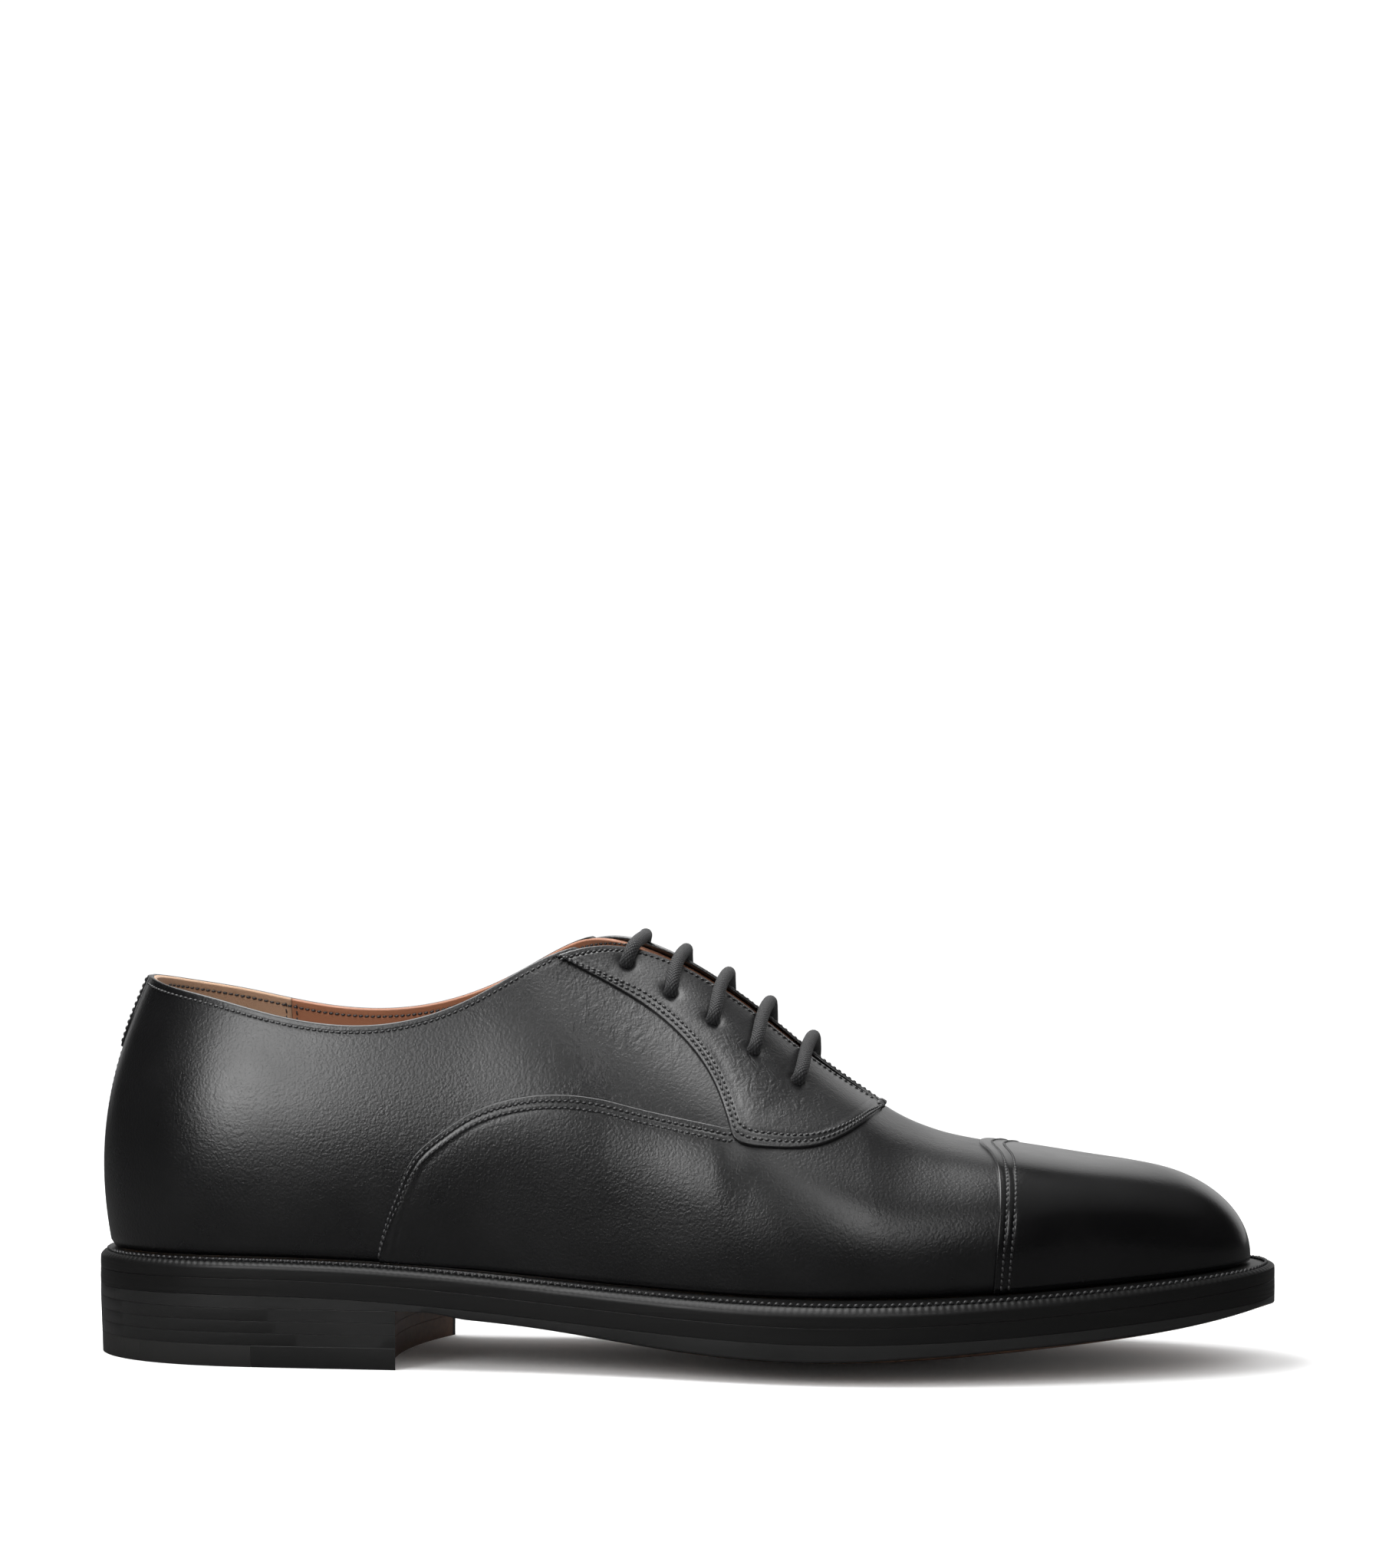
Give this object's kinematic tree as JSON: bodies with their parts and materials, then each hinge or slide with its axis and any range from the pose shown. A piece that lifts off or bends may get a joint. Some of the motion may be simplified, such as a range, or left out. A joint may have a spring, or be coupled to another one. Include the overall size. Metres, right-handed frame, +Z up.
{
  "type": "oxford shoe",
  "caption": "Closed-laced leather oxford shoe for a right foot, with a seamed toe cap, welted leather sole, stacked heel and straight lacing.",
  "frame": {"origin": "middle of the bounding box, on the floor under the heel and tread", "axes": "+X towards the toe, +Y towards the inner (medial) side, +Z up"},
  "size_m": [0.3062, 0.1062, 0.1104],
  "materials": {
    "black_calf": "glossy box calf with a fine grain",
    "mirror_calf": "box calf polished to a mirror at the toe",
    "tan_lining": "smooth tan lining leather",
    "natural_lining": "natural lining leather",
    "suede_grip": "brushed leather",
    "waxed_lace": "waxed round cotton lace, matte",
    "eyelet_metal": "black lacquered brass",
    "stiffener_board": "skived leather board",
    "toe_board": "stiffened canvas",
    "rib_canvas": "glued canvas rib",
    "insole_leather": "oak bark tanned shoulder",
    "cork": "ground cork and latex",
    "spring_steel": "tempered strip",
    "black_edge": "inked and waxed edge, satin",
    "sole_leather": "brown burnished sole leather",
    "heel_leather": "stacked lift leather, inked at the edge",
    "top_rubber": "matte black rubber"
  },
  "bodies": {
    "shoe": {"quarter_lateral": "black_calf", "facing_lateral": "black_calf", "quarter_lining_lateral": "tan_lining", "eyelet_lateral_1": "eyelet_metal", "eyelet_lateral_2": "eyelet_metal", "eyelet_lateral_3": "eyelet_metal", "eyelet_lateral_4": "eyelet_metal", "eyelet_lateral_5": "eyelet_metal", "quarter_medial": "black_calf", "facing_medial": "black_calf", "quarter_lining_medial": "tan_lining", "eyelet_medial_1": "eyelet_metal", "eyelet_medial_2": "eyelet_metal", "eyelet_medial_3": "eyelet_metal", "eyelet_medial_4": "eyelet_metal", "eyelet_medial_5": "eyelet_metal", "vamp": "black_calf", "toe_cap": "mirror_calf", "back_strip": "black_calf", "lace": "waxed_lace", "vamp_lining": "natural_lining", "heel_grip": "suede_grip", "heel_counter": "stiffener_board", "toe_puff": "toe_board", "welt": "black_edge", "insole_rib": "rib_canvas", "insole": "insole_leather", "heel_pad": "tan_lining", "cork_filler": "cork", "shank": "spring_steel", "midsole": "black_edge", "outsole": "sole_leather", "heel_lift_1": "heel_leather", "heel_lift_2": "heel_leather", "heel_lift_3": "heel_leather", "top_piece_rubber": "top_rubber", "top_piece_leather": "heel_leather"},
    "tongue": {"tongue": "black_calf"}
  },
  "joints": [
    {"name": "tongue_fold", "type": "hinge", "parent": "shoe", "child": "tongue", "pos_m": [0.04986, 0, 0.06], "axis": [0, -1, 0], "range_deg": [0, 12], "stiffness_Nm_per_rad": 0.05, "springref_deg": -11.46}
  ]
}
